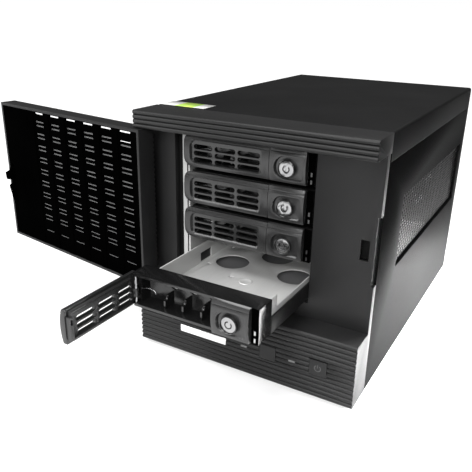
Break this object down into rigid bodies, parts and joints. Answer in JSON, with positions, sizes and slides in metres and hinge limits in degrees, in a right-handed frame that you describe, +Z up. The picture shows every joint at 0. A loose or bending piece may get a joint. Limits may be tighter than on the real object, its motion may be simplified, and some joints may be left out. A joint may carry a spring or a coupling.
{
  "type": "nas enclosure",
  "caption": "Desktop storage enclosure with a hinged slotted front door and stacked hot-swap drive trays, one drawn out with its lever open.",
  "frame": {"origin": "middle of the rest plane under the feet", "axes": "+Z up, front of the enclosure towards -Y, +X to its right as seen from the front"},
  "size_m": [0.4064, 0.4705, 0.2212],
  "materials": {
    "black_steel": "fine black powder coat",
    "bright_steel": "plain zinc plated sheet",
    "aluminium": "bare fins",
    "foot_rubber": "matt",
    "label_paper": "white film with a green patch",
    "bezel_plastic": "satin moulded",
    "door_plastic": "satin moulded",
    "tray_plastic": "semi gloss moulded",
    "lever_plastic": "satin moulded",
    "rail_plastic": "plain moulded",
    "silver_trim": "brushed blank plate",
    "lens_plastic": "clear lens",
    "dust_filter": "woven screen",
    "circuit_board": "solder mask",
    "chrome": "polished"
  },
  "bodies": {
    "root": {"base_tray": "black_steel", "side_panel_left": "black_steel", "side_panel_right": "black_steel", "vent_plate_left": "black_steel", "vent_plate_right": "black_steel", "top_cover": "black_steel", "rear_panel": "black_steel", "feet": "foot_rubber", "cover_screws": "bright_steel", "top_label": "label_paper", "front_bezel": "bezel_plastic", "badge_plate": "silver_trim", "indicator_windows": "lens_plastic", "switch_board": "circuit_board", "drive_cage": "bright_steel", "backplane": "circuit_board", "drive_connectors": "rail_plastic", "mainboard": "circuit_board", "heatsink": "aluminium", "io_ports": "bright_steel", "power_supply": "black_steel", "power_inlet": "rail_plastic", "fan_frames": "rail_plastic"},
    "door": {"door_shell": "door_plastic", "door_liner": "door_plastic", "door_filter": "dust_filter", "door_pins": "bright_steel"},
    "latch": {"door_latch": "door_plastic"},
    "reset": {"reset_button": "bezel_plastic"},
    "power": {"power_button": "bezel_plastic"},
    "tray_1": {"tray_1_front": "tray_plastic", "tray_1_pan": "bright_steel", "tray_1_rails": "rail_plastic", "tray_1_light_pipes": "lens_plastic", "tray_1_lever_pin": "chrome"},
    "lever_1": {"tray_1_lever": "lever_plastic"},
    "lock_1": {"tray_1_lock": "chrome"},
    "tray_2": {"tray_2_front": "tray_plastic", "tray_2_pan": "bright_steel", "tray_2_rails": "rail_plastic", "tray_2_light_pipes": "lens_plastic", "tray_2_lever_pin": "chrome"},
    "lever_2": {"tray_2_lever": "lever_plastic"},
    "lock_2": {"tray_2_lock": "chrome"},
    "tray_3": {"tray_3_front": "tray_plastic", "tray_3_pan": "bright_steel", "tray_3_rails": "rail_plastic", "tray_3_light_pipes": "lens_plastic", "tray_3_lever_pin": "chrome"},
    "lever_3": {"tray_3_lever": "lever_plastic"},
    "lock_3": {"tray_3_lock": "chrome"},
    "tray_4": {"tray_4_front": "tray_plastic", "tray_4_pan": "bright_steel", "tray_4_rails": "rail_plastic", "tray_4_light_pipes": "lens_plastic", "tray_4_lever_pin": "chrome"},
    "lever_4": {"tray_4_lever": "lever_plastic"},
    "lock_4": {"tray_4_lock": "chrome"},
    "rotor_left": {"fan_rotor_left": "rail_plastic"},
    "rotor_right": {"fan_rotor_right": "rail_plastic"}
  },
  "joints": [
    {"name": "door_hinge", "type": "hinge", "parent": "root", "child": "door", "pos_m": [-0.09944, -0.17475, 0.1335], "axis": [0, 0, 1], "range_deg": [0, 188.8]},
    {"name": "latch_slide", "type": "slide", "parent": "door", "child": "latch", "axis": [0, 0, 1], "range_m": [0, 0.003], "stiffness_N_per_m": 200},
    {"name": "reset_press", "type": "slide", "parent": "root", "child": "reset", "axis": [0, 1, 0], "range_m": [0, 0.0015], "stiffness_N_per_m": 300},
    {"name": "power_press", "type": "slide", "parent": "root", "child": "power", "axis": [0, 1, 0], "range_m": [0, 0.0015], "stiffness_N_per_m": 300},
    {"name": "tray_1_slide", "type": "slide", "parent": "root", "child": "tray_1", "axis": [0, 1, 0], "range_m": [-0.14, 0]},
    {"name": "lever_1_hinge", "type": "hinge", "parent": "tray_1", "child": "lever_1", "pos_m": [-0.061, -0.155, 0.18845], "axis": [0, 0, 1], "range_deg": [-90, 0]},
    {"name": "lock_1_turn", "type": "hinge", "parent": "tray_1", "child": "lock_1", "pos_m": [0.0278, -0.1565, 0.1854], "axis": [0, 1, 0], "range_deg": [0, 90]},
    {"name": "tray_2_slide", "type": "slide", "parent": "root", "child": "tray_2", "axis": [0, 1, 0], "range_m": [-0.14, 0]},
    {"name": "lever_2_hinge", "type": "hinge", "parent": "tray_2", "child": "lever_2", "pos_m": [-0.061, -0.155, 0.15635], "axis": [0, 0, 1], "range_deg": [-90, 0]},
    {"name": "lock_2_turn", "type": "hinge", "parent": "tray_2", "child": "lock_2", "pos_m": [0.0278, -0.1565, 0.1533], "axis": [0, 1, 0], "range_deg": [0, 90]},
    {"name": "tray_3_slide", "type": "slide", "parent": "root", "child": "tray_3", "axis": [0, 1, 0], "range_m": [-0.14, 0]},
    {"name": "lever_3_hinge", "type": "hinge", "parent": "tray_3", "child": "lever_3", "pos_m": [-0.061, -0.155, 0.12425], "axis": [0, 0, 1], "range_deg": [-90, 0]},
    {"name": "lock_3_turn", "type": "hinge", "parent": "tray_3", "child": "lock_3", "pos_m": [0.0278, -0.1565, 0.1212], "axis": [0, 1, 0], "range_deg": [0, 90]},
    {"name": "tray_4_slide", "type": "slide", "parent": "root", "child": "tray_4", "axis": [0, 1, 0], "range_m": [0, 0.085]},
    {"name": "lever_4_hinge", "type": "hinge", "parent": "tray_4", "child": "lever_4", "pos_m": [-0.061, -0.24, 0.09215], "axis": [0, 0, 1], "range_deg": [0, 90]},
    {"name": "lock_4_turn", "type": "hinge", "parent": "tray_4", "child": "lock_4", "pos_m": [0.0278, -0.2415, 0.0891], "axis": [0, 1, 0], "range_deg": [0, 90]},
    {"name": "rotor_left_spin", "type": "hinge", "parent": "root", "child": "rotor_left", "pos_m": [-0.045, 0.1385, 0.108], "axis": [0, 1, 0], "continuous": true},
    {"name": "rotor_right_spin", "type": "hinge", "parent": "root", "child": "rotor_right", "pos_m": [0.045, 0.1385, 0.108], "axis": [0, 1, 0], "continuous": true}
  ],
  "couplings": [
    {"joint": "tray_4_slide", "follows": "door_hinge", "m_per_rad": 0.02579},
    {"joint": "lever_4_hinge", "follows": "door_hinge", "ratio": 0.4766}
  ]
}
